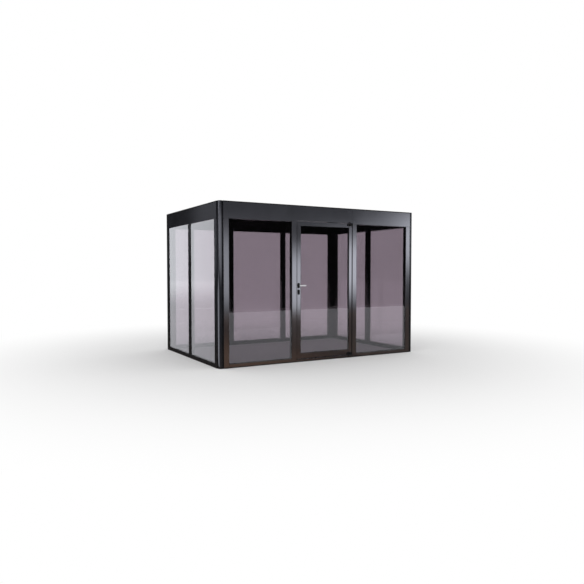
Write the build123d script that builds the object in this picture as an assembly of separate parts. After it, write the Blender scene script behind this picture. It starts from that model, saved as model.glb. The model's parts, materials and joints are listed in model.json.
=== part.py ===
from build123d import *
import os

# Sizes in millimetres. The origin is the middle of the plan at ground level, +Z up, the door faces -Y.

# Overall size, and how many bays each wall is divided into
total_width = 3374.0
total_depth = 2296.0
total_height = 2250.0
front_bays = 3
side_bays = 2

# Extruded posts and rails
frame_depth = 72.0
post_width = 80.0
wall = 2.5
edge_round = 4.0
base_height = 58.0
fascia_height = 235.0
door_head_height = 220.0
threshold_height = 40.0
threshold_slope = 6.0
joint_width = 3.0
joint_depth = 2.0

# Corner post: a round nose between two shadow grooves
nose_radius = 36.0
nose_setback = 8.0
nose_overhang = 15.0
corner_groove_depth = 24.0

# Glazing of the walls
glass_thickness = 6.0
glass_setback = 10.0
gasket = 3.0
groove_depth = 14.0
edge_room = 2.0

# Roof: panes on a ledge inside the fascias and on two rafters
roof_glass = 8.0
roof_drop = 24.0
ledge_width = 30.0
pane_room = 3.0
top_step_height = 14.0
top_step_setback = 6.0
rafter_width = 80.0
rafter_depth = 90.0
pane_joint = 20.0
cap_width = 60.0
cap_height = 8.0
cap_bevel = 3.0

# Door leaf
door_gap = 5.0
door_sill_gap = 6.0
door_setback = 4.0
door_depth = 44.0
latch_stile = 63.0
hinge_stile = 55.0
door_top = 65.0
door_bottom = 81.0
door_glass_setback = 8.0
stop_width = 12.0
stop_depth = 12.0

# Pivots at the door's hinge side
pivot_inset = 42.0
pivot_reach = 12.0
pivot_width = 40.0
pivot_height = 40.0
pivot_depth = 22.0
pivot_arm = 48.0
arm_thick = 9.0
pivot_round = 4.0
bracket_height = 14.0
pin_radius = 5.0
running_clearance = 0.05

# Lever handle and lock on the latch stile
lever_height = 1102.0
lever_backset = 27.0
neck_radius = 8.0
lever_length = 110.0
lever_stand = 29.0
lever_radius = 10.5
lever_tip = 2.0
spindle_radius = 4.5
rose_width = 28.0
rose_height = 74.0
rose_thick = 9.0
lock_spacing = 92.0
cylinder_radius = 8.5
cylinder_fin = 10.0
cylinder_drop = 33.0
cylinder_proud = 3.0
key_slot_width = 2.0
key_slot_height = 9.0
key_slot_depth = 6.0
bore_room = 3.0
seat_clearance = 0.2

overrun = 5.0

# Sizes that follow
corner = frame_depth
nose_centre = nose_setback + nose_radius
front_pitch = (total_width - 2 * corner - post_width) / front_bays
side_pitch = (total_depth - 2 * corner - post_width) / side_bays
front_bay = front_pitch - post_width
side_bay = side_pitch - post_width
pane_top = total_height - fascia_height
door_head_z = total_height - door_head_height
ledge_z = total_height - roof_drop
groove_near = glass_setback - gasket
groove_far = glass_setback + glass_thickness + gasket
door_groove_near = door_glass_setback - gasket
door_groove_far = door_glass_setback + glass_thickness + gasket
door_left = corner + 2 * post_width + front_bay
door_right = door_left + front_bay
leaf_left = door_left + door_gap
leaf_right = door_right - door_gap
leaf_low = threshold_height + door_sill_gap
leaf_high = door_head_z - door_gap
low_corner = (Align.MIN, Align.MIN)

# Each wall is drawn from its left end as seen from outside: x along it, y inwards, z up
places = {
    "front": Location((-total_width / 2, -total_depth / 2, 0), (0, 0, 0)),
    "right": Location((total_width / 2, -total_depth / 2, 0), (0, 0, 90)),
    "back": Location((total_width / 2, total_depth / 2, 0), (0, 0, 180)),
    "left": Location((-total_width / 2, total_depth / 2, 0), (0, 0, -90)),
}


def patch(x0, x1, y0, y1):
    return Pos(x0, y0) * Rectangle(x1 - x0, y1 - y0, align=low_corner)


def rounded(x0, x1, y0, y1, radius):
    middle = Pos((x0 + x1) / 2, (y0 + y1) / 2)
    return middle * RectangleRounded(x1 - x0, y1 - y0, radius)


def block(x0, x1, y0, y1, z0, z1):
    return Pos(x0, y0, z0) * Box(x1 - x0, y1 - y0, z1 - z0, align=(Align.MIN,) * 3)


def along(section, x0, x1):
    # Section drawn in y and z, run from x0 to x1
    return extrude(Plane((x0, 0, 0), x_dir=(0, 1, 0), z_dir=(1, 0, 0)) * section, amount=x1 - x0)


def upright(section, z0, z1):
    return extrude(Pos(0, 0, z0) * section, amount=z1 - z0)


def write(name, shapes, place):
    placed = [place * shape for shape in shapes]
    whole = placed[0] if len(placed) == 1 else Compound(children=placed)
    export_step(whole, f"parts/{name}.step")


# Upright extrusion with a glazing groove on one or both sides and two chambers
def post_section(groove_left, groove_right):
    section = rounded(0, post_width, 0, frame_depth, edge_round)
    web = groove_far + wall
    section -= patch(wall, post_width - wall, web, frame_depth - wall)
    section -= patch(groove_depth + wall, post_width - groove_depth - wall, wall, groove_far)
    if groove_left:
        section -= patch(0, groove_depth, groove_near, groove_far)
    if groove_right:
        section -= patch(post_width - groove_depth, post_width, groove_near, groove_far)
    return section


def post(x0, groove_left, groove_right, top):
    return Pos(x0, 0, 0) * upright(post_section(groove_left, groove_right), 0, top)


# Outline of the corner post, drawn inset by a wall for its chamber: the nose is round past its middle
def corner_outline(inset):
    far = corner - inset
    floor = corner_groove_depth + inset
    overhang = nose_overhang - inset
    side = nose_centre + overhang
    radius = nose_radius - inset
    tip = nose_centre - (radius**2 - overhang**2) ** 0.5
    crown = nose_centre - radius / 2**0.5
    lines = Polyline(
        (tip, side),
        (floor, side),
        (floor, far),
        (far, far),
        (far, floor),
        (side, floor),
        (side, tip),
    )
    nose = ThreePointArc((side, tip), (crown, crown), (tip, side))
    return make_face(Curve() + [lines, nose])


# Its chamber is open below and closed under the roof ledge
def corner_post():
    shaft = upright(corner_outline(0), 0, total_height)
    shaft -= upright(corner_outline(wall), 0, ledge_z - wall)
    ledge_start = corner - ledge_width
    far = corner + overrun
    return shaft - block(ledge_start, far, ledge_start, far, ledge_z, total_height + overrun)


# Bottom rail: closed tube with the glazing groove on top
def base_section():
    section = rounded(0, frame_depth, 0, base_height, edge_round)
    section -= patch(groove_near, groove_far, base_height - groove_depth, base_height)
    return section - patch(wall, frame_depth - wall, wall, base_height - groove_depth - wall)


# Fascia: deep box with a step at its top edge and a roof ledge inside
def fascia_outline(low):
    outline = rounded(0, frame_depth, low, total_height, edge_round)
    outline -= patch(0, top_step_setback, total_height - top_step_height, total_height)
    return outline - patch(frame_depth - ledge_width, frame_depth, ledge_z, total_height)


# Its chamber, whose front part stops short of both ends, because they show in the grooves and joints
def fascia(low, x0, x1):
    end_wall = joint_width + wall
    split = corner_groove_depth + wall
    low_z = low + groove_depth + wall
    mid_z = ledge_z - wall
    high_z = total_height - wall
    ledge_start = frame_depth - ledge_width
    front = patch(wall, split, low_z, mid_z) + patch(top_step_setback + wall, split, mid_z, high_z)
    rear = patch(split, frame_depth - wall, low_z, mid_z) + patch(split, ledge_start - wall, mid_z, high_z)
    box = along(fascia_outline(low), x0, x1)
    return box - along(front, x0 + end_wall, x1 - end_wall) - along(rear, x0, x1)


# Groove under a fascia for the panes that stand between x0 and x1
def head_groove(x0, x1):
    return along(patch(groove_near, groove_far, pane_top, pane_top + groove_depth), x0, x1)


# Shadow joint where two lengths of fascia meet
def shadow_joint(x0):
    return block(x0, x0 + joint_width, 0, joint_depth, pane_top, total_height)


def pane(x0, x1):
    bite = groove_depth - edge_room
    near = glass_setback
    far = near + glass_thickness
    return block(x0 - bite, x1 + bite, near, far, base_height - groove_depth, pane_top + bite)


# Threshold with a sloped tread, so that water runs off outwards
def threshold():
    outline = Polyline(
        (0, 0),
        (frame_depth, 0),
        (frame_depth, threshold_height),
        (0, threshold_height - threshold_slope),
        close=True,
    )
    section = make_face(outline)
    section -= patch(wall, frame_depth - wall, wall, threshold_height - threshold_slope - wall)
    return along(section, door_left, door_right)


def wall_panes(bays, bay, pitch):
    starts = [corner + post_width + pitch * number for number in range(bays)]
    return starts, [pane(start, start + bay) for start in starts]


# A glazed wall without a door: end stiles, mullions, base rails, fascia and panes
def glazed_wall(name, bays, bay, pitch, pane_names):
    place = places[name]
    starts, panes = wall_panes(bays, bay, pitch)
    last = corner + bays * pitch
    head = fascia(pane_top, corner, last + post_width)
    head -= head_groove(starts[0] - groove_depth, last + groove_depth)
    mullions = [post(start - post_width, True, True, pane_top) for start in starts[1:]]
    write(f"{name}_stiles", [post(corner, False, True, pane_top), post(last, True, False, pane_top)], place)
    write(f"{name}_mullion" + "s" * (len(mullions) > 1), mullions, place)
    write(f"{name}_base_rails", [along(base_section(), start, start + bay) for start in starts], place)
    write(f"{name}_fascia", [head], place)
    for pane_name, shape in zip(pane_names, panes):
        write(pane_name, [shape], place)


def front_wall():
    place = places["front"]
    starts, panes = wall_panes(front_bays, front_bay, front_pitch)
    last = corner + front_bays * front_pitch
    latch_post = door_left - post_width
    head_left = fascia(pane_top, corner, latch_post) - shadow_joint(latch_post - joint_width)
    head_left -= head_groove(starts[0] - groove_depth, latch_post)
    head_right = fascia(pane_top, door_right, last + post_width) - shadow_joint(door_right)
    head_right -= head_groove(starts[-1] - groove_depth, last + groove_depth)
    write("front_stiles", [post(corner, False, True, pane_top), post(last, True, False, pane_top)], place)
    write("door_post_latch", [post(latch_post, True, False, door_head_z)], place)
    write("door_post_hinge", [post(door_right, False, True, pane_top)], place)
    fixed = [starts[0], starts[-1]]
    write("front_base_rails", [along(base_section(), start, start + front_bay) for start in fixed], place)
    write("front_fascia_left", [head_left], place)
    write("door_head", [fascia(door_head_z, latch_post, door_right)], place)
    write("front_fascia_right", [head_right], place)
    write("front_pane_left", [panes[0]], place)
    write("front_pane_right", [panes[-1]], place)
    write("door_threshold", [threshold()], place)
    write("door_stop", [door_stop()], place)


# Strip on the latch post that the closed leaf lies against
def door_stop():
    near = door_setback + door_depth + door_gap
    section = rounded(door_left, door_left + stop_width, near, near + stop_depth, edge_round)
    return upright(section, threshold_height, door_head_z)


# Roof
def roof():
    place = places["front"]
    xs = [corner + front_pitch * number + post_width / 2 for number in range(1, front_bays)]
    low = ledge_z - rafter_depth
    outer = rounded(0, rafter_width, low, ledge_z, edge_round)
    section = outer - patch(wall, rafter_width - wall, low + wall, ledge_z - wall)
    run = Plane((0, frame_depth, 0), x_dir=(1, 0, 0), z_dir=(0, -1, 0))
    tube = extrude(run * section, amount=-(total_depth - 2 * frame_depth))
    write("roof_rafters", [Pos(x - rafter_width / 2, 0, 0) * tube for x in xs], place)
    margin = frame_depth - ledge_width + pane_room
    lefts = [margin] + [x + pane_joint / 2 for x in xs]
    rights = [x - pane_joint / 2 for x in xs] + [total_width - margin]
    for side, x0, x1 in zip(("left", "middle", "right"), lefts, rights):
        sheet = block(x0, x1, margin, total_depth - margin, ledge_z, ledge_z + roof_glass)
        write(f"roof_pane_{side}", [sheet], place)
    cap_z = ledge_z + roof_glass
    caps = [roof_cap(x, margin, cap_z) for x in xs]
    write("roof_glazing_caps", caps, place)


# Pressure cap over a joint between two roof panes, bevelled along its edges
def roof_cap(x, margin, z):
    half = cap_width / 2
    outline = Polyline(
        (-half, 0),
        (half, 0),
        (half, cap_height - cap_bevel),
        (half - cap_bevel, cap_height),
        (cap_bevel - half, cap_height),
        (-half, cap_height - cap_bevel),
        close=True,
    )
    run = Plane((x, margin, z), x_dir=(1, 0, 0), z_dir=(0, -1, 0))
    return extrude(run * make_face(outline), amount=-(total_depth - 2 * margin))


# Door leaf: upright tube with its glazing groove on the inner side
def stile_section(stile_width):
    section = rounded(0, stile_width, 0, door_depth, edge_round)
    section -= patch(stile_width - groove_depth, stile_width, door_groove_near, door_groove_far)
    section -= patch(wall, stile_width - wall, door_groove_far + wall, door_depth - wall)
    return section - patch(wall, stile_width - groove_depth - wall, wall, door_groove_far)


def rail_section(height):
    section = rounded(0, door_depth, 0, height, edge_round)
    section -= patch(door_groove_near, door_groove_far, height - groove_depth, height)
    return section - patch(wall, door_depth - wall, wall, height - groove_depth - wall)


# Euro-profile lock cylinder, widened all round by a clearance for its holes
def cylinder_outline(room):
    barrel = Circle(cylinder_radius + room)
    drop = cylinder_drop - cylinder_radius
    fin_half = cylinder_fin / 2
    fin = patch(-fin_half - room, fin_half + room, -drop + fin_half, 0)
    return barrel + fin + Pos(0, fin_half - drop) * Circle(fin_half + room)


# Plain slot milled through the stile for the cylinder
def cylinder_slot():
    half = cylinder_radius + bore_room
    return patch(-half, half, cylinder_radius - cylinder_drop - bore_room, half)


# Section in x and z, run from y0 to y1 through the latch stile
def through(section, z, y0, y1):
    x = leaf_left + lever_backset
    return extrude(Plane((x, y0, z), x_dir=(1, 0, 0), z_dir=(0, -1, 0)) * section, amount=y0 - y1)


def door_leaf():
    place = places["front"]
    front = door_setback
    back = front + door_depth
    lock_z = lever_height - lock_spacing
    stile = Pos(leaf_left, front, 0) * upright(stile_section(latch_stile), leaf_low, leaf_high)
    turned = mirror(stile_section(hinge_stile), about=Plane.YZ)
    twin = Pos(leaf_right, front, 0) * upright(turned, leaf_low, leaf_high)
    stile -= through(Circle(spindle_radius + bore_room), lever_height, front - overrun, back + overrun)
    stile -= through(cylinder_slot(), lock_z, front - overrun, back + overrun)
    write("door_stile_latch", [stile], place)
    write("door_stile_hinge", [twin], place)
    x0 = leaf_left + latch_stile
    x1 = leaf_right - hinge_stile
    bottom = Pos(0, front, leaf_low) * along(rail_section(door_bottom), x0, x1)
    top_section = mirror(rail_section(door_top), about=Plane.XZ)
    top = Pos(0, front, leaf_high) * along(top_section, x0, x1)
    write("door_bottom_rail", [bottom], place)
    write("door_top_rail", [top], place)
    bite = groove_depth - edge_room
    near = front + door_glass_setback
    low = leaf_low + door_bottom - groove_depth
    high = leaf_high - door_top + bite
    write("door_pane", [block(x0 - bite, x1 + bite, near, near + glass_thickness, low, high)], place)


# Oblong roses on both faces: for the lever above and for the lock below
def rose(hole, z, y0, y1):
    return through(SlotOverall(rose_height, rose_width, rotation=90) - hole, z, y0, y1)


def door_hardware():
    place = places["front"]
    front = door_setback
    back = front + door_depth
    lock_z = lever_height - lock_spacing
    neck_hole = Circle(neck_radius + running_clearance)
    key_hole = cylinder_outline(seat_clearance)
    roses = []
    for hole, z in ((neck_hole, lever_height), (key_hole, lock_z)):
        roses.append(rose(hole, z, front - rose_thick, front))
        roses.append(rose(hole, z, back, back + rose_thick))
    write("door_roses", roses, place)
    write("lock_cylinder", [lock_cylinder(lock_z, front, back)], place)
    write("door_lever", [door_lever(front, back)], place)


# Cylinder through the stile and both roses, with a key slot in each end
def lock_cylinder(z, front, back):
    proud = rose_thick + cylinder_proud
    near = front - proud
    far = back + proud
    slot = Rectangle(key_slot_width, key_slot_height)
    solid = through(cylinder_outline(0), z, near, far)
    solid -= through(slot, z, near, near + key_slot_depth)
    return solid - through(slot, z, far - key_slot_depth, far)


# Lever set: a round grip on a neck at each face, joined by the spindle through the stile
def door_lever(front, back):
    start = leaf_left + lever_backset - neck_radius
    stand = rose_thick + lever_stand
    lever = through(Circle(spindle_radius), lever_height, front, back)
    for face, y in ((front, front - stand), (back, back + stand)):
        neck = through(Circle(neck_radius), lever_height, min(face, y), max(face, y))
        run = Plane((start, y, lever_height), x_dir=(0, 1, 0), z_dir=(1, 0, 0))
        grip = extrude(run * Circle(lever_radius), amount=lever_length)
        rims = grip.edges().filter_by(GeomType.CIRCLE)
        lever += neck + chamfer(rims, lever_tip)
    return lever


# Pivots: bosses with pins and an arm on the leaf, and brackets with bores on the head and the threshold
def pivots():
    place = places["front"]
    x = door_right - pivot_inset
    y = -pivot_reach
    half = pivot_width / 2
    near = y - pivot_depth / 2
    outline = rounded(x - half, x + half, near, door_setback, pivot_round)
    outline += patch(x - pivot_arm, x, door_setback - arm_thick, door_setback)
    plate = rounded(x - half, x + half, near, 0, pivot_round)
    pin = Pos(x, y) * Circle(pin_radius)
    bore = Pos(x, y) * Circle(pin_radius + running_clearance)
    head_low = door_head_z
    head_high = head_low + bracket_height
    sill_high = threshold_height - threshold_slope
    sill_low = sill_high - bracket_height
    top_block = upright(outline, leaf_high - pivot_height, leaf_high) + upright(pin, leaf_high, head_high)
    low_block = upright(outline, leaf_low, leaf_low + pivot_height) + upright(pin, sill_low, leaf_low)
    write("door_pivots", [top_block, low_block], place)
    top_bracket = upright(plate - bore, head_low, head_high)
    low_bracket = upright(plate - bore, sill_low, sill_high)
    write("pivot_brackets", [top_bracket, low_bracket], place)


os.makedirs("parts", exist_ok=True)
for corner_name, wall_name in (
    ("front_left", "front"),
    ("front_right", "right"),
    ("back_right", "back"),
    ("back_left", "left"),
):
    write(f"corner_post_{corner_name}", [corner_post()], places[wall_name])
front_wall()
back_panes = ("back_pane_right", "back_pane_middle", "back_pane_left")
glazed_wall("back", front_bays, front_bay, front_pitch, back_panes)
glazed_wall("left", side_bays, side_bay, side_pitch, ("left_pane_back", "left_pane_front"))
glazed_wall("right", side_bays, side_bay, side_pitch, ("right_pane_front", "right_pane_back"))
roof()
door_leaf()
door_hardware()
pivots()
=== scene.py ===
import bmesh
import bpy
import json
import math
from mathutils import Matrix, Vector


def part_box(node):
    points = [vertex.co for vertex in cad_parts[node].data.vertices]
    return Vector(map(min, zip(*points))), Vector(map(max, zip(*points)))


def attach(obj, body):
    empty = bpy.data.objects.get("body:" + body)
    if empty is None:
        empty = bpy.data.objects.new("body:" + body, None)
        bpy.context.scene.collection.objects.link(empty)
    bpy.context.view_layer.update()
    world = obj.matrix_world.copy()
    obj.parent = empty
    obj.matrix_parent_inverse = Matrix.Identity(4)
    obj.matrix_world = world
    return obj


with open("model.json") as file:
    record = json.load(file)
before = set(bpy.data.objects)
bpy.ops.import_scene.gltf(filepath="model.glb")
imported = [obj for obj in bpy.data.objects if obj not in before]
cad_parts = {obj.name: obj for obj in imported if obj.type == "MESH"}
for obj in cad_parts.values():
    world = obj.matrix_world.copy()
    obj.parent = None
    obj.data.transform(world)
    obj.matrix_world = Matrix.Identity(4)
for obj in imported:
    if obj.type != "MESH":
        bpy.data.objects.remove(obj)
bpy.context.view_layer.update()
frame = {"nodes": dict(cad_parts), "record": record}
nodes = frame["nodes"]
right, back, up = Vector((1, 0, 0)), Vector((0, 1, 0)), Vector((0, 0, 1))
print("frame loaded:", len(nodes), "CAD nodes")


# small helpers for meshes
meshSet = {
    "weld": 1e-6,
    "sharpAngle": 40.0,   # degrees
}


def addPiece(name, mesh, material, body):
    piece = bpy.data.objects.new(name, mesh)
    bpy.context.scene.collection.objects.link(piece)
    mesh.materials.append(material)
    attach(piece, body)


def finishMesh(bm, name, smooth=True):
    bmesh.ops.remove_doubles(bm, verts=bm.verts, dist=meshSet["weld"])
    bmesh.ops.recalc_face_normals(bm, faces=bm.faces)
    mesh = bpy.data.meshes.new(name)
    bm.to_mesh(mesh)
    bm.free()
    for face in mesh.polygons:
        face.use_smooth = smooth
    if smooth:
        mesh.set_sharp_from_angle(angle=math.radians(meshSet["sharpAngle"]))
    return mesh


def joinLoops(bm, here, there):
    count = len(here)
    for j in range(count):
        k = (j + 1) % count
        bm.faces.new((here[j], here[k], there[k], there[j]))


def ringAlong(bm, origin, across, along, out, rect, profile):
    # profile points are (inwards from the edge, out of the face), mitred round the four corners
    x0, x1, y0, y1 = rect
    turns = ((x0, y0, 1, 1), (x1, y0, -1, 1), (x1, y1, -1, -1), (x0, y1, 1, -1))
    rings = []
    for x, y, sx, sy in turns:
        rings.append([bm.verts.new(origin + across * (x + sx * t) + along * (y + sy * t) + out * h)
                      for t, h in profile])
    for i in range(4):
        joinLoops(bm, rings[i], rings[(i + 1) % 4])


def stripAlong(bm, start, end, first, second, profile):
    # profile points are (along first, along second), capped at both ends
    ends = [[bm.verts.new(p + first * a + second * b) for a, b in profile] for p in (start, end)]
    joinLoops(bm, *ends)
    bm.faces.new(ends[0])
    bm.faces.new(list(reversed(ends[1])))


def roundedBlock(bm, low, high, edge, steps=2):
    size = Vector(high) - Vector(low)
    middle = (Vector(high) + Vector(low)) / 2
    matrix = Matrix.Translation(middle) @ Matrix.Diagonal(size).to_4x4()
    made = bmesh.ops.create_cube(bm, size=1.0, matrix=matrix)
    edges = list({e for v in made["verts"] for e in v.link_edges})
    bmesh.ops.bevel(bm, geom=edges, offset=edge, segments=steps, profile=0.5, affect="EDGES")


# small helpers for node trees

def setInputs(tree, node, values):
    for key, value in values.items():
        if isinstance(value, bpy.types.NodeSocket):
            tree.links.new(value, node.inputs[key])
        else:
            node.inputs[key].default_value = value


def addNode(tree, kind, values=None, **props):
    node = tree.nodes.new(kind)
    for key, value in props.items():
        setattr(node, key, value)
    setInputs(tree, node, values or {})
    return node


def addSockets(tree, inputs, outputs):
    for name, kind, value in inputs:
        socket = tree.interface.new_socket(name=name, in_out="INPUT", socket_type=kind)
        if value is not None:
            socket.default_value = value
    for name, kind in outputs:
        tree.interface.new_socket(name=name, in_out="OUTPUT", socket_type=kind)


def addMath(tree, operation, a, b, clamp=False):
    node = addNode(tree, "ShaderNodeMath", {0: a, 1: b}, operation=operation, use_clamp=clamp)
    return node.outputs[0]


def addRange(tree, value, low, high, toLow=0.0, toHigh=1.0):
    node = addNode(tree, "ShaderNodeMapRange", {"Value": value, "From Min": low, "From Max": high,
                                                "To Min": toLow, "To Max": toHigh})
    node.interpolation_type = "SMOOTHSTEP"
    return node.outputs["Result"]


def addMix(tree, factor, a, b):
    return addNode(tree, "ShaderNodeMix", {0: factor, 6: a, 7: b}, data_type="RGBA").outputs[2]


def addBlend(tree, factor, a, b):
    return addNode(tree, "ShaderNodeMix", {0: factor, 2: a, 3: b}, data_type="FLOAT").outputs[0]


def addNoise(tree, place, **values):
    return addNode(tree, "ShaderNodeTexNoise", {"Vector": place, **values}).outputs["Fac"]


def addBump(tree, height, strength, distance):
    node = addNode(tree, "ShaderNodeBump", {"Height": height, "Strength": strength, "Distance": distance})
    return node.outputs["Normal"]


def objectPlace(tree):
    return addNode(tree, "ShaderNodeTexCoord").outputs["Object"]


def zOf(tree, vector):
    return addNode(tree, "ShaderNodeSeparateXYZ", {"Vector": vector}).outputs["Z"]


def newGroup(name, inputs, outputs):
    tree = bpy.data.node_groups.new(name, "ShaderNodeTree")
    addSockets(tree, [(key, "NodeSocketFloat", value) for key, value in inputs.items()],
               [(key, "NodeSocketFloat") for key in outputs])
    return tree, addNode(tree, "NodeGroupInput").outputs, objectPlace(tree)


def useGroup(tree, group, values):
    return addNode(tree, "ShaderNodeGroup", values, node_tree=group).outputs


def newMaterial(name):
    material = bpy.data.materials.new(name)
    material.use_nodes = True
    tree = material.node_tree
    return material, tree, tree.nodes["Principled BSDF"]


# shared finishes: coat grain, earth splashed up from the ground (on the coat its brown is also a painted
# reflection of the warm ground), settled dust, hand smears
# each pair is where a mask starts and where it is full
maskLook = {
    "dropEdge": (0.22, 0.1),
    "dropReach": (0.3, 0.02),
    "dustFacing": (0.55, 0.98),
    "dustPatches": (0.3, 0.75),
    "wiped": (0.48, 0.78),
}


def grainGroup():
    inputs = {"Grain Scale": 900.0, "Peel Scale": 160.0, "Peel Share": 0.6}
    tree, source, place = newGroup("coatGrain", inputs, ("Height", "Tone"))
    grain = addNoise(tree, place, Scale=source["Grain Scale"], Detail=2.0)
    peel = addNoise(tree, place, Scale=source["Peel Scale"], Detail=1.0)
    tone = addNoise(tree, place, Scale=4.0, Detail=6.0, Roughness=0.65)
    height = addMath(tree, "ADD", grain, addMath(tree, "MULTIPLY", peel, source["Peel Share"]))
    addNode(tree, "NodeGroupOutput", {"Height": height, "Tone": tone})
    return tree


def earthAndReflectedGroundGroup():
    inputs = {"Reach": 0.5, "Full Below": 0.0, "Unevenness": 0.14}
    tree, source, place = newGroup("earthAndReflectedGroundMask", inputs, ("Mask", "Specks"))
    patches = addNoise(tree, place, Scale=7.0, Detail=5.0, Roughness=0.6)
    centred = addMath(tree, "SUBTRACT", patches, 0.5)
    lifted = addMath(tree, "ADD", zOf(tree, place), addMath(tree, "MULTIPLY", centred, source["Unevenness"]))
    mask = addRange(tree, lifted, source["Reach"], source["Full Below"])
    drops = addNode(tree, "ShaderNodeTexVoronoi", {"Vector": place, "Scale": 120.0})
    small = addRange(tree, drops.outputs["Distance"], *maskLook["dropEdge"])
    low = addRange(tree, lifted, *maskLook["dropReach"])
    addNode(tree, "NodeGroupOutput", {"Mask": mask, "Specks": addMath(tree, "MULTIPLY", small, low)})
    return tree


def dustGroup():
    tree, source, place = newGroup("settledDust", {"Patch Scale": 9.0}, ("Mask",))
    normal = addNode(tree, "ShaderNodeNewGeometry").outputs["Normal"]
    upward = addRange(tree, zOf(tree, normal), *maskLook["dustFacing"])
    patches = addNoise(tree, place, Scale=source["Patch Scale"], Detail=6.0, Roughness=0.7)
    lying = addRange(tree, patches, *maskLook["dustPatches"])
    addNode(tree, "NodeGroupOutput", {"Mask": addMath(tree, "MULTIPLY", upward, lying)})
    return tree


def smearGroup():
    inputs = {"Smear Scale": 2.2, "Fine Scale": 30.0}
    tree, source, place = newGroup("wipeSmears", inputs, ("Mask", "Wave"))
    broad = addNoise(tree, place, Scale=source["Smear Scale"], Detail=4.0, Distortion=1.6)
    fine = addNoise(tree, place, Scale=source["Fine Scale"], Detail=5.0)
    wave = addNoise(tree, place, Scale=1.4, Detail=1.0)
    mask = addMath(tree, "MULTIPLY", addRange(tree, broad, *maskLook["wiped"]), fine)
    addNode(tree, "NodeGroupOutput", {"Mask": mask, "Wave": wave})
    return tree


coatGrain, earthAndReflectedGroundMask, settledDust, wipeSmears = grainGroup(), earthAndReflectedGroundGroup(), dustGroup(), smearGroup()


# satin anthracite coat of all the extrusions
coatLook = {
    "grain": {"Grain Scale": 900.0, "Peel Scale": 140.0, "Peel Share": 0.8},
    "splash": {"Reach": 0.44, "Full Below": 0.17, "Unevenness": 0.12},
    "settled": {"Patch Scale": 9.0},
    "colour": (0.0085, 0.0087, 0.0105, 1.0),
    "paler": (0.0115, 0.0118, 0.0142, 1.0),
    "palerTone": (0.3, 0.7),
    # brown towards the bottom: splashed earth, and partly a painted reflection of the warm ground in front
    "earthAndReflectedGround": (0.032, 0.025, 0.020, 1.0),
    "earthAndReflectedGroundShare": 0.18,
    "dust": (0.115, 0.110, 0.100, 1.0),
    "speckShare": 0.35,
    "dustShare": 0.45,
    "roughness": (0.09, 0.12),
    "roughTone": (0.25, 0.75),
    "earthDulling": 0.02,
    "dustDulling": 0.3,
    "bump": (0.03, 0.0004),   # strength, distance
    "specular": 0.6,
}


def coatMaterial():
    material, tree, bsdf = newMaterial("satinCoat")
    grain = useGroup(tree, coatGrain, coatLook["grain"])
    splash = useGroup(tree, earthAndReflectedGroundMask, coatLook["splash"])
    dust = useGroup(tree, settledDust, coatLook["settled"])
    paler = addRange(tree, grain["Tone"], *coatLook["palerTone"])
    colour = addMix(tree, paler, coatLook["colour"], coatLook["paler"])
    # the brown layer near the ground is splashed earth and partly a painted reflection of the warm ground
    layers = ((splash["Mask"], "earthAndReflectedGroundShare", "earthAndReflectedGround"), (splash["Specks"], "speckShare", "dust"),
              (dust["Mask"], "dustShare", "dust"))
    for mask, share, layer in layers:
        colour = addMix(tree, addMath(tree, "MULTIPLY", mask, coatLook[share]), colour, coatLook[layer])
    rough = addRange(tree, grain["Tone"], *coatLook["roughTone"], *coatLook["roughness"])
    for mask, share in ((splash["Mask"], "earthDulling"), (dust["Mask"], "dustDulling")):
        rough = addMath(tree, "ADD", rough, addMath(tree, "MULTIPLY", mask, coatLook[share]))
    setInputs(tree, bsdf, {"Base Color": colour, "Roughness": rough,
                           "Specular IOR Level": coatLook["specular"],
                           "Normal": addBump(tree, grain["Height"], *coatLook["bump"])})
    return material


# grey mauve solar glass, tinted in its mass and slightly wavy
glassLook = {
    "smear": {"Smear Scale": 2.2, "Fine Scale": 36.0},
    "splash": {"Reach": 0.22, "Unevenness": 0.12},
    "tint": (0.487, 0.437, 0.480, 1.0),
    "dirtyTint": (0.465, 0.422, 0.460, 1.0),
    "dulling": 0.06,
    "wave": (0.04, 0.004),
    "ior": 1.52,
}


def glassMaterial():
    material, tree, bsdf = newMaterial("tintedGlass")
    smear = useGroup(tree, wipeSmears, glassLook["smear"])
    splash = useGroup(tree, earthAndReflectedGroundMask, glassLook["splash"])
    film = addMath(tree, "MAXIMUM", smear["Mask"], splash["Mask"])
    setInputs(tree, bsdf, {"Base Color": addMix(tree, film, glassLook["tint"], glassLook["dirtyTint"]),
                           "Roughness": addMath(tree, "MULTIPLY", splash["Mask"], glassLook["dulling"]),
                           "Normal": addBump(tree, smear["Wave"], *glassLook["wave"]),
                           "IOR": glassLook["ior"], "Transmission Weight": 1.0})
    return material


# polished lever
leverLook = {
    "smear": {"Smear Scale": 40.0, "Fine Scale": 300.0},
    "clean": (0.78, 0.78, 0.80, 1.0),
    "smeared": (0.62, 0.62, 0.64, 1.0),
    "smearSpan": (0.0, 0.6),
    "roughness": (0.12, 0.3),
    "edge": 0.003,
    "edgeSamples": 4,
}


def leverMaterial():
    material, tree, bsdf = newMaterial("polishedLever")
    smear = useGroup(tree, wipeSmears, leverLook["smear"])
    edges = addNode(tree, "ShaderNodeBevel", {"Radius": leverLook["edge"]}, samples=leverLook["edgeSamples"])
    rough = addRange(tree, smear["Mask"], *leverLook["smearSpan"], *leverLook["roughness"])
    colour = addMix(tree, smear["Mask"], leverLook["clean"], leverLook["smeared"])
    setInputs(tree, bsdf, {"Base Color": colour, "Roughness": rough,
                           "Normal": edges.outputs["Normal"], "Metallic": 1.0})
    return material


# black satin fittings: pivots, roses and lock cylinder
fittingLook = {
    "grain": {"Grain Scale": 1600.0, "Peel Scale": 400.0, "Peel Share": 0.4},
    "colour": (0.008, 0.008, 0.009, 1.0),
    "paler": (0.016, 0.016, 0.017, 1.0),
    "tone": (0.3, 0.7),
    "roughness": (0.38, 0.5),
    "bump": (0.12, 0.0003),
}


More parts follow.
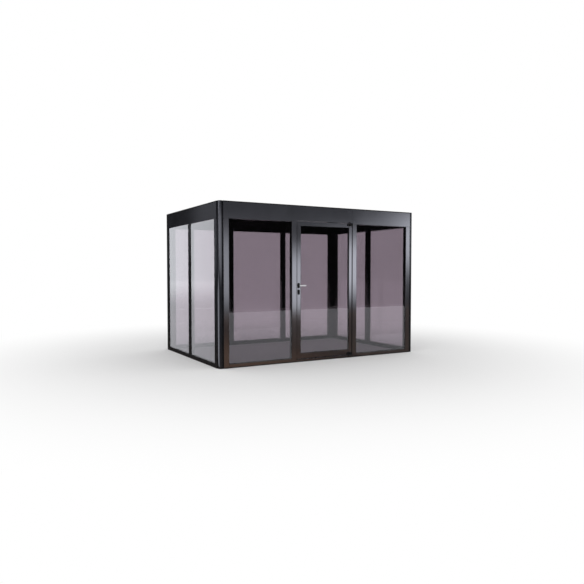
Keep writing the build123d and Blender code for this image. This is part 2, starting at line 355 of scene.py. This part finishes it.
def fittingMaterial():
    material, tree, bsdf = newMaterial("blackFitting")
    grain = useGroup(tree, coatGrain, fittingLook["grain"])
    rough = addRange(tree, grain["Tone"], *fittingLook["tone"], *fittingLook["roughness"])
    colour = addMix(tree, grain["Tone"], fittingLook["colour"], fittingLook["paler"])
    setInputs(tree, bsdf, {"Base Color": colour, "Roughness": rough,
                           "Normal": addBump(tree, grain["Height"], *fittingLook["bump"])})
    return material


# dull black rubber of gaskets and seals
rubberLook = {
    "grain": {"Grain Scale": 2200.0, "Peel Scale": 90.0, "Peel Share": 0.3},
    "splash": {"Reach": 0.3, "Unevenness": 0.16},
    "colour": (0.006, 0.006, 0.006, 1.0),
    "paler": (0.014, 0.014, 0.014, 1.0),
    "earthAndReflectedGround": (0.04, 0.032, 0.024, 1.0),
    "earthAndReflectedGroundShare": 0.5,
    "tone": (0.3, 0.7),
    "roughness": (0.6, 0.8),
    "bump": (0.2, 0.0003),
}


def rubberMaterial():
    material, tree, bsdf = newMaterial("blackRubber")
    grain = useGroup(tree, coatGrain, rubberLook["grain"])
    splash = useGroup(tree, earthAndReflectedGroundMask, rubberLook["splash"])
    colour = addMix(tree, grain["Tone"], rubberLook["colour"], rubberLook["paler"])
    earthFactor = addMath(tree, "MULTIPLY", splash["Mask"], rubberLook["earthAndReflectedGroundShare"])
    colour = addMix(tree, earthFactor, colour, rubberLook["earthAndReflectedGround"])
    rough = addRange(tree, grain["Tone"], *rubberLook["tone"], *rubberLook["roughness"])
    setInputs(tree, bsdf, {"Base Color": colour, "Roughness": rough,
                           "Normal": addBump(tree, grain["Height"], *rubberLook["bump"])})
    return material


# brushed stainless of screws, latch and strike plate
steelLook = {
    "stretch": (900.0, 900.0, 30.0),
    "colour": (0.42, 0.42, 0.43, 1.0),
    "paler": (0.60, 0.60, 0.61, 1.0),
    "tone": (0.3, 0.7),
    "roughness": (0.22, 0.4),
    "bump": (0.1, 0.0002),
}


def steelMaterial():
    material, tree, bsdf = newMaterial("brushedSteel")
    place = objectPlace(tree)
    stretched = addNode(tree, "ShaderNodeMapping", {"Vector": place, "Scale": steelLook["stretch"]})
    lines = addNoise(tree, stretched.outputs["Vector"], Scale=1.0, Detail=3.0)
    setInputs(tree, bsdf, {"Base Color": addMix(tree, lines, steelLook["colour"], steelLook["paler"]),
                           "Roughness": addRange(tree, lines, *steelLook["tone"], *steelLook["roughness"]),
                           "Normal": addBump(tree, lines, *steelLook["bump"]), "Metallic": 1.0})
    return material


satinCoat, tintedGlass, polishedLever = coatMaterial(), glassMaterial(), leverMaterial()
blackFitting, blackRubber, brushedSteel = fittingMaterial(), rubberMaterial(), steelMaterial()

finishOf = {
    "frame_coat": satinCoat,
    "tinted_glass": tintedGlass,
    "lever_metal": polishedLever,
    "black_fitting": blackFitting,
}
# what each group of soft boxes shines on; low pieces start below this height
# dull holds the black fittings, which have no soft box of their own
lowStart = 0.5
coated, faced, footed, rounded, glazed, polished, dull = (bpy.data.collections.new(name) for name in (
    "coatedPieces", "coatedFlatPieces", "coatedLowPieces",
    "coatedCornerPosts", "glazedPieces", "polishedPieces", "dullPieces"))
litGroup = {satinCoat: coated, tintedGlass: glazed, polishedLever: polished, blackFitting: dull}
for part in frame["record"]["subparts"]:
    node, finish = nodes[part["node"]], finishOf[part["material_slot"]]
    node.data.materials.clear()
    node.data.materials.append(finish)
    litGroup[finish].objects.link(node)
    if finish == satinCoat and part["node"].startswith("corner_post"):
        rounded.objects.link(node)
    elif finish == satinCoat:
        faced.objects.link(node)
        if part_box(part["node"])[0].z < lowStart:
            footed.objects.link(node)
print("finishes set on", len(nodes), "CAD nodes")


def addRubber(name, bm, body):
    addPiece(name, finishMesh(bm, name), blackRubber, body)


# rubber gaskets round every wall pane and the door pane, outside and inside
gasketShape = {
    "sideBite": 0.012,   # how far the pane stands in its groove
    "sillBite": 0.014,
    "profile": [(-0.006, 0.0), (0.0026, 0.0), (0.0025, 0.0012), (0.0021, 0.0034),
                (0.0014, 0.0060), (0.0003, 0.0074), (0.0002, 0.0029), (-0.006, 0.0029)],
}


def makeGaskets(name, paneNames, body):
    side, sill = gasketShape["sideBite"], gasketShape["sillBite"]
    bm = bmesh.new()
    for paneName in paneNames:
        low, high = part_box(paneName)
        size = high - low
        across, out = (right, back) if size.x > size.y else (back, right)
        rect = (side, size.dot(across) - side, sill, size.z - side)
        for face, heading in ((low, -out), (low + out * size.dot(out), out)):
            ringAlong(bm, face, across, up, heading, rect, gasketShape["profile"])
    addRubber(name, bm, body)


wallPanes = [name for name in nodes if "_pane" in name and not name.startswith(("roof", "door"))]
makeGaskets("wallGaskets", wallPanes, "frame")
makeGaskets("doorGaskets", ["door_pane"], "door")
print("gaskets round", len(wallPanes) + 1, "panes")


# roof: sealant bead round the panes, and the dark strip in the step of the fascias
roofTrim = {
    "bead": [(-0.0028, -0.002), (0.0, 0.0), (0.008, 0.0),
             (0.0055, 0.0022), (0.001, 0.0045), (-0.0028, 0.0055)],
    "strip": [(0.0015, 0.001), (0.0058, 0.001), (0.0058, 0.0130), (0.0028, 0.0130), (0.0015, 0.0116)],
    "stepHeight": 0.014,
    "fascias": ("front_fascia_left", "door_head", "front_fascia_right",
                "back_fascia", "left_fascia", "right_fascia"),
}


def roofBead():
    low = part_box("roof_pane_left")[0]
    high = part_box("roof_pane_right")[1]
    bm = bmesh.new()
    rect = (0.0, high.x - low.x, 0.0, high.y - low.y)
    ringAlong(bm, Vector((low.x, low.y, high.z)), right, back, up, rect, roofTrim["bead"])
    addRubber("roofBead", bm, "frame")


def edgeStrips():
    bm = bmesh.new()
    for name in roofTrim["fascias"]:
        low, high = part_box(name)
        along, across = (right, back) if high.x - low.x > high.y - low.y else (back, right)
        outer, inwards = (low, across) if low.dot(across) < 0 else (high, -across)
        edge = across * outer.dot(across) + up * (high.z - roofTrim["stepHeight"])
        start, end = edge + along * low.dot(along), edge + along * high.dot(along)
        stripAlong(bm, start, end, inwards, up, roofTrim["strip"])
    addRubber("roofEdgeStrips", bm, "frame")


roofBead()
edgeStrips()
print("roof trim made")


# Geometry Nodes: helpers that build a tree, run it and keep a plain mesh

def newTree(name, inputs):
    tree = bpy.data.node_groups.new(name, "GeometryNodeTree")
    sockets = [("Geometry", "NodeSocketGeometry", None), *inputs, ("Finish", "NodeSocketMaterial", None)]
    addSockets(tree, sockets, [("Geometry", "NodeSocketGeometry")])
    return tree, addNode(tree, "NodeGroupInput").outputs


def endTree(tree, source, instances):
    real = addNode(tree, "GeometryNodeRealizeInstances", {"Geometry": instances})
    dressed = addNode(tree, "GeometryNodeSetMaterial", {"Geometry": real.outputs[0],
                                                        "Material": source["Finish"]})
    addNode(tree, "NodeGroupOutput", {"Geometry": dressed.outputs[0]})


def growPiece(name, tree, seedMesh, values, finish, body):
    piece = bpy.data.objects.new(name, seedMesh)
    bpy.context.scene.collection.objects.link(piece)
    modifier = piece.modifiers.new("grow", "NODES")
    modifier.node_group = tree
    settings = {**values, "Finish": finish}
    for item in tree.interface.items_tree:
        if item.in_out == "INPUT" and item.name in settings:
            modifier[item.identifier] = settings[item.name]
    evaluated = piece.evaluated_get(bpy.context.evaluated_depsgraph_get())
    grown = bpy.data.meshes.new_from_object(evaluated)
    grown.name = name
    piece.modifiers.remove(modifier)
    piece.data = grown
    bpy.data.meshes.remove(seedMesh)
    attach(piece, body)


# pan-head screws with a round socket, standing along the attribute "facing"
screwSet = {
    "sides": 18,
    "shoulder": 0.35,       # share of the head's height
    "crown": 0.72,          # each share is of the ring outside it
    "socket": 0.55,
    "capScrews": 9,
    "capWidth": 0.060,
    "capMargin": 0.06,
    "capHead": {"Head Radius": 0.0055, "Head Height": 0.003, "Socket Depth": 0.0018},
    "armReach": 0.014,      # from the free end of a pivot arm to its screws
    "armThick": 0.009,
    "armSpread": 0.010,
    "armMiddle": 0.020,     # from the end of the stile to the middle of the arm
    "bracketSpread": 0.012,
    "pivotHead": {"Head Radius": 0.0032, "Head Height": 0.0014, "Socket Depth": 0.0008},
}


def screwTree():
    tree, source = newTree("screwHeads", [("Head Radius", "NodeSocketFloat", 0.005),
                                          ("Head Height", "NodeSocketFloat", 0.003),
                                          ("Socket Depth", "NodeSocketFloat", 0.0016)])
    head = addNode(tree, "GeometryNodeMeshCylinder", {
        "Vertices": screwSet["sides"], "Radius": source["Head Radius"], "Depth": source["Head Height"]})
    shape, top = head.outputs["Mesh"], head.outputs["Top"]
    shoulder = addMath(tree, "MULTIPLY", source["Head Height"], screwSet["shoulder"])
    sunk = addMath(tree, "MULTIPLY", source["Socket Depth"], -1.0)
    for rise, scale in ((shoulder, screwSet["crown"]), (0.0, screwSet["socket"]), (sunk, 1.0)):
        raised = addNode(tree, "GeometryNodeExtrudeMesh", {
            "Mesh": shape, "Selection": top, "Offset Scale": rise})
        narrowed = addNode(tree, "GeometryNodeScaleElements", {
            "Geometry": raised.outputs["Mesh"], "Selection": raised.outputs["Top"], "Scale": scale})
        shape, top = narrowed.outputs["Geometry"], raised.outputs["Top"]
    facing = addNode(tree, "GeometryNodeInputNamedAttribute", {"Name": "facing"}, data_type="FLOAT_VECTOR")
    turn = addNode(tree, "FunctionNodeAlignRotationToVector", {"Vector": facing.outputs["Attribute"]},
                   axis="Z")
    placed = addNode(tree, "GeometryNodeInstanceOnPoints", {"Points": source["Geometry"], "Instance": shape,
                                                            "Rotation": turn.outputs["Rotation"]})
    endTree(tree, source, placed.outputs["Instances"])
    return tree


screwHeads = screwTree()


def addScrews(name, points, facing, head, finish, body):
    mesh = bpy.data.meshes.new(name + "Points")
    mesh.from_pydata([tuple(p) for p in points], [], [])
    attribute = mesh.attributes.new("facing", "FLOAT_VECTOR", "POINT")
    attribute.data.foreach_set("vector", list(facing) * len(points))
    growPiece(name, screwHeads, mesh, head, finish, body)


def capScrews():
    low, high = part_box("roof_glazing_caps")
    half, count = screwSet["capWidth"] / 2, screwSet["capScrews"]
    first, last = low.y + screwSet["capMargin"], high.y - screwSet["capMargin"]
    step = (last - first) / (count - 1)
    rows = (low.x + half, high.x - half)
    points = [Vector((x, first + step * i, high.z)) for x in rows for i in range(count)]
    addScrews("capScrews", points, up, screwSet["capHead"], brushedSteel, "frame")


def pivotScrews():
    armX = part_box("door_pivots")[0].x + screwSet["armReach"]
    leafLow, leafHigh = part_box("door_stile_hinge")
    armY = leafLow.y - screwSet["armThick"]
    middles = (leafLow.z + screwSet["armMiddle"], leafHigh.z - screwSet["armMiddle"])
    points = [Vector((armX, armY, z + s * screwSet["armSpread"])) for z in middles for s in (-1, 1)]
    addScrews("pivotScrews", points, -back, screwSet["pivotHead"], blackFitting, "door")


def bracketScrews():
    low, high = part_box("pivot_brackets")
    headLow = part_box("door_head")[0].z
    middle, half = (low.x + high.x) / 2, (high.z - headLow) / 2
    points = [Vector((middle + s * screwSet["bracketSpread"], low.y, z))
              for z in (headLow + half, low.z + half) for s in (-1, 1)]
    addScrews("bracketScrews", points, -back, screwSet["pivotHead"], blackFitting, "frame")


capScrews()
pivotScrews()
bracketScrews()
print("screws set")


# rubber seals in the gap round the door and on its stop
sealShape = {
    "setback": 0.0015,   # behind the face of the leaf
    "gapProfile": [(0.0, 0.0), (0.0014, 0.0), (0.0021, 0.002),
                   (0.0021, 0.006), (0.0014, 0.008), (0.0, 0.008)],
    # on the hinge side a fin also laps the rounded edge of the post
    "hingeProfile": [(0.0, 0.0), (0.0, -0.0015), (-0.0005, -0.0035), (-0.0020, -0.0050), (-0.0040, -0.0055),
                     (-0.0064, -0.0055), (-0.0062, -0.0059), (-0.0030, -0.0059), (0.0004, -0.0046),
                     (0.0018, -0.0015), (0.0021, 0.002), (0.0021, 0.006), (0.0014, 0.008), (0.0, 0.008)],
    "stopProfile": [(0.0, 0.0), (0.0026, 0.001), (0.0038, 0.004), (0.0026, 0.007), (0.0, 0.008)],
    "stopMargin": 0.002,
}


def doorSeals():
    latch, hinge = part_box("door_post_latch")[1].x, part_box("door_post_hinge")[0].x
    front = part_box("door_stile_latch")[0].y + sealShape["setback"]
    sill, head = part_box("door_threshold")[1].z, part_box("door_head")[0].z
    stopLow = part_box("door_stop")[0]
    stopX = stopLow.x + sealShape["stopMargin"]
    bm = bmesh.new()
    for x, inwards, shape in ((latch, right, "gapProfile"), (hinge, -right, "hingeProfile")):
        stripAlong(bm, Vector((x, front, sill)), Vector((x, front, head)), inwards, back, sealShape[shape])
    stripAlong(bm, Vector((latch, front, head)), Vector((hinge, front, head)), -up, back,
               sealShape["gapProfile"])
    stripAlong(bm, Vector((stopX, stopLow.y, sill)), Vector((stopX, stopLow.y, head)), -back, right,
               sealShape["stopProfile"])
    addRubber("doorSeals", bm, "frame")


doorSeals()
print("door seals made")


# lock: forend with latch and bolt on the edge of the leaf, strike plate on the post
lockSet = {
    "forend": (0.018, 0.240, 0.0008),   # width, height, thickness
    "forendDrop": 0.050,                # its middle below the lever
    "latch": [(0.0, 0.0), (0.0006, 0.0), (0.0026, 0.0095), (0.0, 0.0105)],
    "latchHeight": 0.018,
    "bolt": (0.009, 0.028, 0.0006),
    "boltDrop": 0.105,
    "strikeRail": 0.005,
    "strikeEnd": 0.020,                 # height of the plate above and below its openings
    "strikeSplit": 0.52,                # share of the plate's height at its middle bar
    "edge": 0.0003,
    "screwMargin": 0.012,
    "screwHead": {"Head Radius": 0.0030, "Head Height": 0.0006, "Socket Depth": 0.0004},
}


def addPlate(name, bm, body, screwName, endX, facing, y, heights):
    addPiece(name, finishMesh(bm, name, smooth=False), brushedSteel, body)
    addScrews(screwName, [Vector((endX, y, z)) for z in heights], facing, lockSet["screwHead"], brushedSteel,
              body)


def lockPlates():
    width, tall, thick = lockSet["forend"]
    leafLow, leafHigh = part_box("door_stile_latch")
    leverLow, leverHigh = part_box("door_lever")
    y = (leafLow.y + leafHigh.y) / 2
    z = (leverLow.z + leverHigh.z) / 2 - lockSet["forendDrop"]
    x, postX = leafLow.x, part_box("door_post_latch")[1].x
    heights = [z + s * (tall / 2 - lockSet["screwMargin"]) for s in (-1, 1)]
    bm = bmesh.new()
    roundedBlock(bm, (x - thick, y - width / 2, z - tall / 2), (x, y + width / 2, z + tall / 2),
                 lockSet["edge"])
    latchZ = z + lockSet["forendDrop"]
    start = Vector((x - thick, y - width / 4, latchZ - lockSet["latchHeight"] / 2))
    stripAlong(bm, start, start + up * lockSet["latchHeight"], -right, back, lockSet["latch"])
    boltWidth, boltTall, boltProud = lockSet["bolt"]
    boltZ = latchZ - lockSet["boltDrop"]
    roundedBlock(bm, (x - thick - boltProud, y - boltWidth / 2, boltZ - boltTall / 2),
                 (x - thick / 2, y + boltWidth / 2, boltZ + boltTall / 2), lockSet["edge"])
    addPlate("lockForend", bm, "door", "forendScrews", x - thick, -right, y, heights)
    bm = bmesh.new()
    rail, end, low, high = lockSet["strikeRail"], lockSet["strikeEnd"], z - tall / 2, z + tall / 2
    middle = low + tall * lockSet["strikeSplit"]
    bars = [(-width / 2, rail - width / 2, low, high), (width / 2 - rail, width / 2, low, high)]
    for z0, z1 in ((low, low + end), (middle - rail, middle + rail), (high - end, high)):
        bars.append((rail - width / 2, width / 2 - rail, z0, z1))
    for y0, y1, z0, z1 in bars:
        roundedBlock(bm, (postX, y + y0, z0), (postX + thick, y + y1, z1), lockSet["edge"] / 2, 1)
    addPlate("strikePlate", bm, "frame", "strikeScrews", postX + thick, right, y, heights)


lockPlates()
print("lock plates made")


# brush under the leaf: two rows of leaning bristles in a carrier
brushSet = {
    "rows": 2, "bristles": 420, "rowGap": 0.004,
    "length": 0.0065, "thickness": 0.0005, "tip": 0.00012, "sides": 4, "lean": 0.22, "seed": 7,
    "carrier": (0.010, 0.0016),   # width, height
    "margin": 0.004,
}


def bristleTree():
    tree, source = newTree("brushBristles", [
        ("Run", "NodeSocketFloat", 0.9), ("Row Gap", "NodeSocketFloat", 0.004),
        ("Bristles", "NodeSocketInt", 300), ("Rows", "NodeSocketInt", 2),
        ("Length", "NodeSocketFloat", 0.006), ("Thickness", "NodeSocketFloat", 0.0005),
        ("Lean", "NodeSocketFloat", 0.2), ("Seed", "NodeSocketInt", 1), ("Place", "NodeSocketVector", None)])
    grid = addNode(tree, "GeometryNodeMeshGrid", {
        "Size X": source["Run"], "Size Y": source["Row Gap"],
        "Vertices X": source["Bristles"], "Vertices Y": source["Rows"]})
    moved = addNode(tree, "GeometryNodeTransform", {"Geometry": grid.outputs["Mesh"],
                                                    "Translation": source["Place"]})
    shaft = addNode(tree, "GeometryNodeMeshCone", {
        "Vertices": brushSet["sides"], "Radius Top": source["Thickness"], "Radius Bottom": brushSet["tip"],
        "Depth": source["Length"]})
    leanBack = addMath(tree, "MULTIPLY", source["Lean"], -1.0)
    tilt = addNode(tree, "FunctionNodeRandomValue", data_type="FLOAT_VECTOR")
    for key, value in (("Min", leanBack), ("Max", source["Lean"]), ("Seed", source["Seed"])):
        socket = next(s for s in tilt.inputs if s.name == key and s.enabled)
        tree.links.new(value, socket)
    placed = addNode(tree, "GeometryNodeInstanceOnPoints", {"Points": moved.outputs["Geometry"],
                                                            "Instance": shaft.outputs["Mesh"],
                                                            "Rotation": tilt.outputs[0]})
    endTree(tree, source, placed.outputs["Instances"])
    return tree


def doorBrush():
    low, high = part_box("door_bottom_rail")
    y = (low.y + high.y) / 2
    width, tall = brushSet["carrier"]
    x0, x1 = low.x + brushSet["margin"], high.x - brushSet["margin"]
    bm = bmesh.new()
    roundedBlock(bm, (x0, y - width / 2, low.z - tall), (x1, y + width / 2, low.z), tall / 4)
    carrier = finishMesh(bm, "brushCarrier", smooth=False)
    addPiece("brushCarrier", carrier, brushedSteel, "door")
    values = {"Run": x1 - x0, "Row Gap": brushSet["rowGap"], "Bristles": brushSet["bristles"],
              "Rows": brushSet["rows"], "Length": brushSet["length"], "Thickness": brushSet["thickness"],
              "Lean": brushSet["lean"], "Seed": brushSet["seed"],
              "Place": ((x0 + x1) / 2, y, low.z - tall / 2 - brushSet["length"] / 2)}
    seed = bpy.data.meshes.new("brushSeed")
    growPiece("doorBrush", bristleTree(), seed, values, blackRubber, "door")


doorBrush()
print("brush under the door made")


# ribs on the sloped tread of the threshold
ribSet = {
    "ribs": 8, "size": (0.0024, 0.0012), "margin": 0.006, "slope": 0.006, "inset": 0.010,
}


def ribTree():
    tree, source = newTree("treadRibs", [
        ("First", "NodeSocketVector", None), ("Last", "NodeSocketVector", None),
        ("Ribs", "NodeSocketInt", 8), ("Rib Size", "NodeSocketVector", None),
        ("Tilt", "NodeSocketVector", None)])
    line = addNode(tree, "GeometryNodeMeshLine", {"Count": source["Ribs"], "Start Location": source["First"],
                                                  "Offset": source["Last"]}, mode="END_POINTS")
    bar = addNode(tree, "GeometryNodeMeshCube", {"Size": source["Rib Size"]})
    placed = addNode(tree, "GeometryNodeInstanceOnPoints", {"Points": line.outputs["Mesh"],
                                                            "Instance": bar.outputs["Mesh"],
                                                            "Rotation": source["Tilt"]})
    endTree(tree, source, placed.outputs["Instances"])
    return tree


def treadRibs():
    low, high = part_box("door_threshold")
    inset, slope = ribSet["inset"], ribSet["slope"]
    width, tall = ribSet["size"]
    rise = slope / (high.y - low.y)
    first = Vector(((low.x + high.x) / 2, low.y + inset, high.z - slope + inset * rise))
    last = Vector((first.x, high.y - inset, high.z - inset * rise))
    length = high.x - low.x - 2 * ribSet["margin"]
    values = {"First": first, "Last": last, "Ribs": ribSet["ribs"],
              "Rib Size": (length, width, tall), "Tilt": (math.atan(rise), 0, 0)}
    seed = bpy.data.meshes.new("ribSeed")
    growPiece("treadRibs", ribTree(), seed, values, satinCoat, "frame")


treadRibs()
print("tread ribs made")


# camera at the photograph's place
cameraSet = {
    "place": (-4.5887, -8.2066, 1.3178),
    "pitch": -2.148,
    "yaw": -29.685,
    "lens": 35.18,
    "sensor": 36.0,
}
eye = bpy.data.cameras.new("photoCamera")
eye.lens, eye.sensor_width = cameraSet["lens"], cameraSet["sensor"]
camera = bpy.data.objects.new("photoCamera", eye)
camera.location = cameraSet["place"]
camera.rotation_euler = (math.radians(90 + cameraSet["pitch"]), 0.0, math.radians(cameraSet["yaw"]))
bpy.context.scene.collection.objects.link(camera)
bpy.context.scene.camera = camera


# plain pale floor that fades to white; for gloss it glows as a dim warm ground, a painted reflection of dark
# ground
floorSet = {
    "left": -40.0, "right": 40.0, "front": -11.6, "back": 60.0,
    "colour": (0.90, 0.90, 0.90, 1.0),
    "white": (1.0, 1.0, 1.0, 1.0),
    "fadeFrom": 2.6, "fadeTo": 6.0,
    # glossColour and glossLevel set the painted reflection of dark ground that gloss sees on the floor
    "glossColour": (1.0, 0.92, 0.86, 1.0),
    "glossLevel": 0.03,
}


def makeFloor():
    x0, x1, y0, y1 = floorSet["left"], floorSet["right"], floorSet["front"], floorSet["back"]
    mesh = bpy.data.meshes.new("paleFloor")
    mesh.from_pydata([(x0, y0, 0), (x1, y0, 0), (x1, y1, 0), (x0, y1, 0)], [], [(0, 1, 2, 3)])
    floor = bpy.data.objects.new("paleFloor", mesh)
    bpy.context.scene.collection.objects.link(floor)
    material, tree, bsdf = newMaterial("paleFloor")
    setInputs(tree, bsdf, {"Base Color": floorSet["colour"], "Roughness": 1.0, "Specular IOR Level": 0.0})
    away = addNode(tree, "ShaderNodeVectorMath", {0: objectPlace(tree)}, operation="LENGTH").outputs["Value"]
    fade = addRange(tree, away, floorSet["fadeFrom"], floorSet["fadeTo"])
    path = addNode(tree, "ShaderNodeLightPath").outputs
    seen = addMath(tree, "MAXIMUM", path["Is Camera Ray"], path["Is Transmission Ray"])
    white = addNode(tree, "ShaderNodeEmission", {"Color": floorSet["white"], "Strength": 1.0})
    mixed = addNode(tree, "ShaderNodeMixShader", {0: addMath(tree, "MULTIPLY", fade, seen),
                                                  1: bsdf.outputs[0], 2: white.outputs[0]})
    # painted reflection: what gloss sees of the floor is a dim warm glow standing in for dark ground
    ground = addNode(tree, "ShaderNodeEmission", {"Color": floorSet["glossColour"],
                                                  "Strength": floorSet["glossLevel"]})
    # rays through the glass count as glossy too, so they are taken out
    mirrored = addMath(tree, "SUBTRACT", path["Is Glossy Ray"], path["Is Transmission Ray"], clamp=True)
    glossed = addNode(tree, "ShaderNodeMixShader", {0: mirrored, 1: mixed.outputs[0], 2: ground.outputs[0]})
    tree.links.new(glossed.outputs[0], tree.nodes["Material Output"].inputs["Surface"])
    mesh.materials.append(material)


# studio surroundings: white behind, an even level for shading, dark round the horizon where gloss looks
worldSet = {
    "evenLevel": 0.95,
    "insideLevel": 0.45,
    "gloss": 0.02,
    "skyLevel": 0.3,
    "skyRise": (0.18, 0.9),
    "onceOrMore": 0.5,   # a ray's depth above this means at least one bounce
}


def makeWorld():
    world = bpy.data.worlds.new("studio")
    bpy.context.scene.world = world
    world.use_nodes = True
    tree = world.node_tree
    height = zOf(tree, addNode(tree, "ShaderNodeTexCoord").outputs["Generated"])
    sky = addMath(tree, "MULTIPLY", addRange(tree, height, *worldSet["skyRise"]), worldSet["skyLevel"])
    gloss = addMath(tree, "ADD", sky, worldSet["gloss"])
    path = addNode(tree, "ShaderNodeLightPath").outputs
    shaded = addMath(tree, "GREATER_THAN", path["Diffuse Depth"], worldSet["onceOrMore"])
    glossed = addMath(tree, "GREATER_THAN", path["Glossy Depth"], worldSet["onceOrMore"])
    even = addBlend(tree, path["Is Transmission Ray"], worldSet["evenLevel"], worldSet["insideLevel"])
    level = addBlend(tree, shaded, addBlend(tree, glossed, 1.0, gloss), even)
    setInputs(tree, tree.nodes["Background"], {"Color": (1.0, 1.0, 1.0, 1.0), "Strength": level})


# soft boxes; level is the brightness of their face, and these change it over the face:
# soft, the share of the height that fades at the top and at the bottom
# foot, the share of the level at the lower edge, or the far edge on the floor, passing to 1 over rise
# leftShare, the share of the level at the left end, or the right end on the floor
# coat: three in front whose gloss runs along the posts, three weak ones that fill round them, one at
# the left, one far behind, and warm ground in front
# round corner posts: one in front, and pale ground at the left
# glass: a glow behind on the left, and the pale floor all round
# polished: one above in front, and pale ground
# those in front stand a little apart in depth, because only one counts where two share a plane
lightSet = {
    "lowStrip": {"place": (3.6, -10.0, 1.094), "aim": (3.6, -1.1, 1.094), "roll": -11.0, "size": (4.0, 3.2),
                 "level": 8.1, "shines": faced, "soft": 0.35, "leftShare": 0.57},
    "midStrip": {"place": (6.9, -10.02, 1.42), "aim": (6.9, -1.1, 1.42), "size": (2.4, 3.1),
                 "level": 8.8, "shines": faced, "soft": 0.39},
    "highStrip": {"place": (9.3, -10.04, 2.42), "aim": (9.3, -1.1, 2.42), "size": (4.2, 3.5),
                  "level": 12.7, "shines": faced, "soft": 0.44, "leftShare": 0.1},
    "lowBox": {"place": (9.3, -10.06, 0.75), "aim": (9.3, -1.1, 0.75), "size": (4.2, 1.7),
               "level": 0.62, "shines": faced, "soft": 0.45},
    "collarBox": {"place": (4.7, -10.08, 2.75), "aim": (4.7, -1.1, 2.75), "size": (7.0, 1.1),
                  "level": 0.35, "shines": faced, "soft": 0.4},
    "headBox": {"place": (4.1, -10.1, 3.6), "aim": (4.1, -1.1, 3.6), "size": (7.2, 2.2),
                "level": 0.44, "shines": faced, "soft": 0.2},
    "sideBox": {"place": (-9.2, -3.9, 2.9), "aim": (-1.6, -1.1, 2.9), "size": (2.4, 3.6),
                "level": 8.6, "shines": coated, "soft": 0.3},
    "noseBox": {"place": (-2.4, -9.65, 2.12), "aim": (-1.7, -1.2, 2.12), "size": (17.0, 2.55),
                "level": 2.5, "shines": rounded, "soft": 0.3},
    "farBox": {"place": (-6.8, 8.0, 2.8), "aim": (-1.7, 0.0, 2.8), "size": (4.0, 4.0),
               "level": 0.25, "shines": coated, "soft": 0.2},
    "warmGround": {"place": (-0.1, -5.5, 0.004), "aim": (-0.1, -5.5, 2.0), "size": (3.0, 8.6),
                   "level": 0.92, "shines": footed, "foot": 1.15, "rise": 0.9, "leftShare": 0.0,
                   "colour": (1.0, 0.56, 0.34)},
    "rightGround": {"place": (5.55, -5.5, 0.004), "aim": (5.55, -5.5, 2.0), "size": (9.7, 8.6),
                    "level": 0.37, "shines": footed, "foot": 2.0, "rise": 0.5, "colour": (1.0, 0.66, 0.50)},
    "sideGround": {"place": (-8.16, 1.79, 0.655), "aim": (-7.993, 1.712, 2.655), "roll": 45.0,
                   "size": (10.0, 10.0), "level": 2.3, "shines": rounded},
    "backGlow": {"place": (-6.0, 10.5, 2.6), "aim": (-6.0, 0.0, 2.6), "size": (9.0, 5.2),
                 "level": 2.6, "shines": glazed, "foot": 0.5, "rise": 0.2},
    "floorGlow": {"place": (-1.0, 0.0, 0.004), "aim": (-1.0, 0.0, 2.0), "size": (32.0, 21.0),
                  "level": 1.3, "shines": glazed},
    "metalBox": {"place": (0.5, -5.0, 4.2), "aim": (-0.45, -1.2, 1.1), "size": (12.0, 7.0),
                 "level": 0.9, "shines": polished},
    "metalGround": {"place": (0.5, -4.5, 0.004), "aim": (0.5, -4.5, 2.0), "size": (12.0, 6.4),
                    "level": 0.6, "shines": polished},
}
cool = (0.86, 0.88, 1.0)
lightColour = {coated: cool, faced: cool, footed: cool, rounded: cool, glazed: (0.96, 0.98, 1.04),
               polished: (1.0, 1.0, 1.0)}


# brightness over the face of a soft box
def faceFade(lamp, values):
    lamp.use_nodes = True
    tree = lamp.node_tree
    spot = addNode(tree, "ShaderNodeNewGeometry").outputs["Parametric"]
    across, rising, _ = addNode(tree, "ShaderNodeSeparateXYZ", {"Vector": spot}).outputs
    if "soft" in values:
        fromEdge = addMath(tree, "MINIMUM", rising, addMath(tree, "SUBTRACT", 1.0, rising))
        level = addRange(tree, fromEdge, 0.0, values["soft"])
    else:
        level = addRange(tree, rising, 0.0, values["rise"], values["foot"], 1.0)
    if "leftShare" in values:
        level = addMath(tree, "MULTIPLY", level, addRange(tree, across, 0.0, 1.0, values["leftShare"], 1.0))
    tree.links.new(level, tree.nodes["Emission"].inputs["Strength"])


def makeLights():
    for name, values in lightSet.items():
        lamp = bpy.data.lights.new(name, "AREA")
        lamp.shape = "RECTANGLE"
        lamp.size, lamp.size_y = values["size"]
        lamp.energy = values["level"] * math.pi * lamp.size * lamp.size_y
        lamp.color = values.get("colour", lightColour[values["shines"]])
        if "soft" in values or "rise" in values:
            faceFade(lamp, values)
        light = bpy.data.objects.new(name, lamp)
        light.location = values["place"]
        aim = Vector(values["aim"]) - Vector(values["place"])
        roll = Matrix.Rotation(math.radians(values.get("roll", 0.0)), 3, "Z")
        light.rotation_euler = (aim.to_track_quat("-Z", "Y").to_matrix() @ roll).to_euler()
        light.visible_camera = False
        light.visible_transmission = False
        light.light_linking.receiver_collection = values["shines"]
        bpy.context.scene.collection.objects.link(light)


makeFloor()
makeWorld()
makeLights()
bpy.context.scene.view_settings.view_transform = "Standard"
print("stage set")
